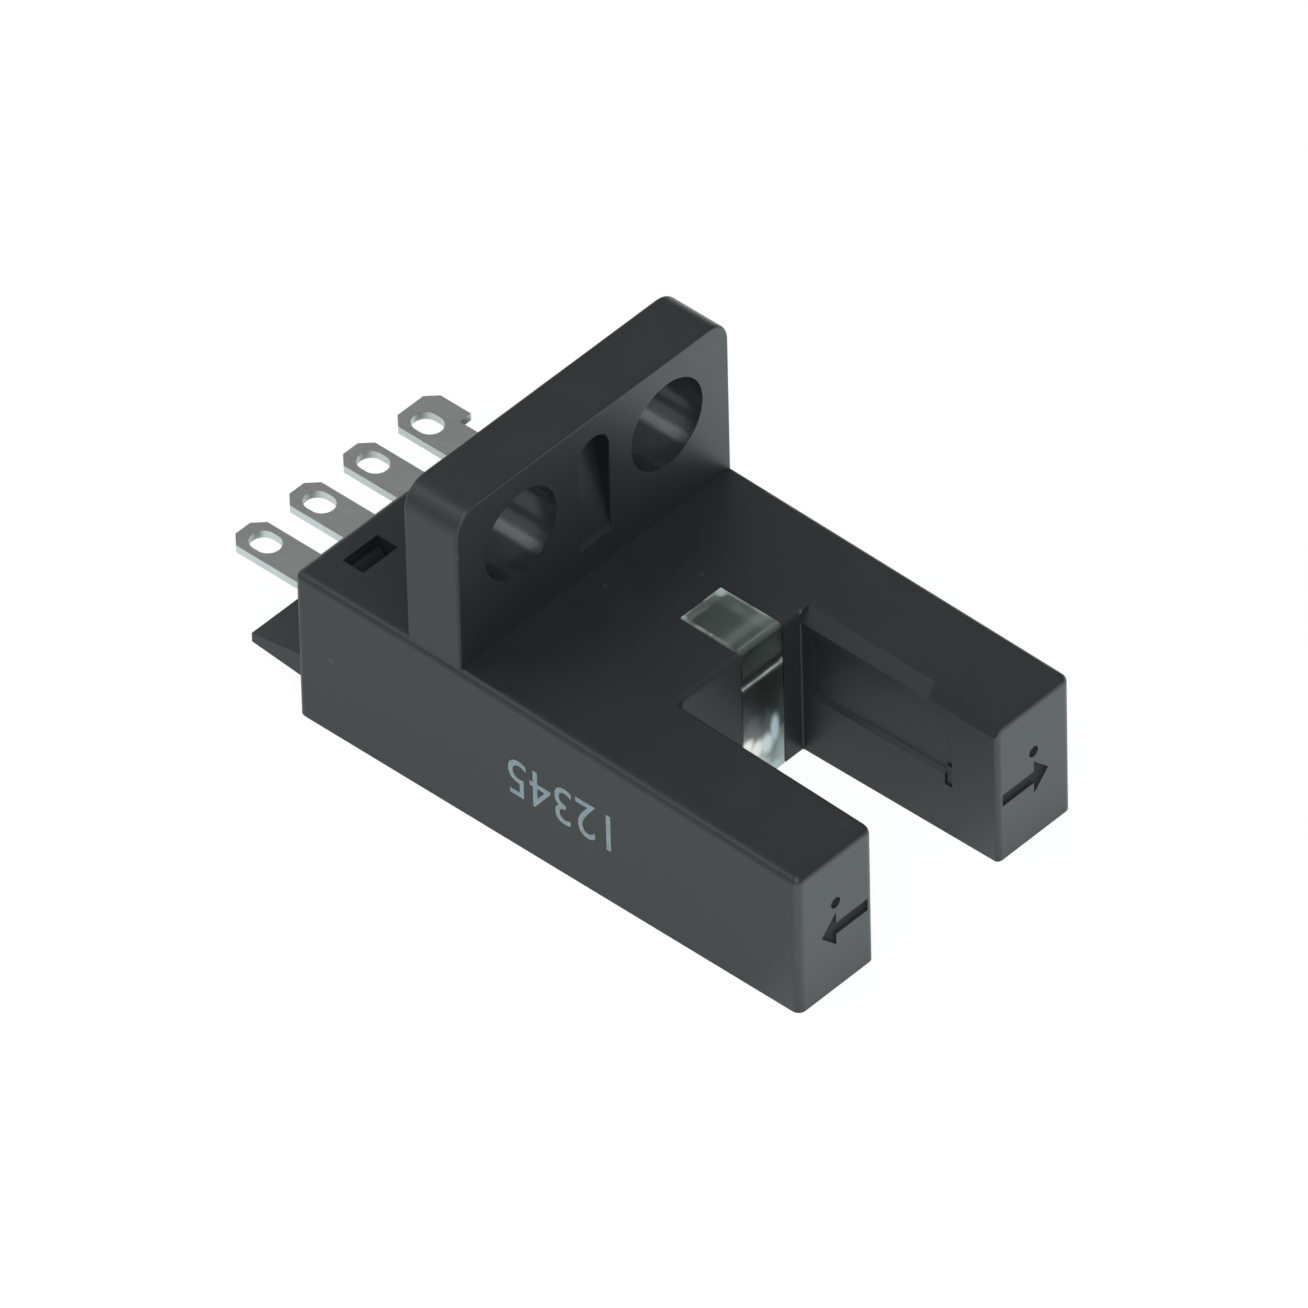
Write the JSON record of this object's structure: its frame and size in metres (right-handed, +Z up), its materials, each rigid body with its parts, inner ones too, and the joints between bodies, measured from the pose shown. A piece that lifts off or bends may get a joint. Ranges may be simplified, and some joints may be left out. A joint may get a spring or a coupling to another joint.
{
  "type": "fork photoelectric sensor",
  "caption": "Fork-shaped photoelectric sensor: a black moulded body with a beam slot, an upright screw flange, a clear indicator window and flat solder terminals.",
  "frame": {"origin": "on the flat underside, below the middle of the whole length from terminal ends to fork tips", "axes": "+X from the terminals to the fork tips, +Y across the slot, +Z up from the flat underside"},
  "size_m": [0.0252, 0.0124, 0.012],
  "materials": {
    "black_plastic": "fine matt moulded PBT, slightly glossy",
    "clear_plastic": "clear moulded polycarbonate",
    "tinned_brass": "tin-plated, satin",
    "green_board": "glass-fibre board with solder mask",
    "clear_epoxy": "clear moulded epoxy",
    "dark_epoxy": "infrared-pass moulded epoxy",
    "red_filter": "infrared-pass polycarbonate plate",
    "chip_plastic": "moulded epoxy with tinned legs",
    "chip_ceramic": "ceramic with tinned ends",
    "diode_resin": "tinted epoxy lens on a white carrier"
  },
  "bodies": {
    "root": {"housing": "black_plastic", "indicator_window": "clear_plastic", "terminal_base": "black_plastic", "circuit_board": "green_board", "emitter": "clear_epoxy", "receiver": "dark_epoxy", "emitter_leads": "tinned_brass", "receiver_leads": "tinned_brass", "emitter_filter": "red_filter", "receiver_filter": "red_filter", "amplifier_chip": "chip_plastic", "output_transistor": "chip_plastic", "protection_diode": "chip_plastic", "indicator_led": "diode_resin", "terminal_1": "tinned_brass", "terminal_2": "tinned_brass", "terminal_3": "tinned_brass", "terminal_4": "tinned_brass", "chip_resistor_1": "chip_ceramic", "chip_resistor_2": "chip_ceramic", "chip_resistor_3": "chip_ceramic", "chip_resistor_4": "chip_ceramic", "chip_capacitor_1": "chip_ceramic", "chip_capacitor_2": "chip_ceramic"}
  },
  "joints": []
}
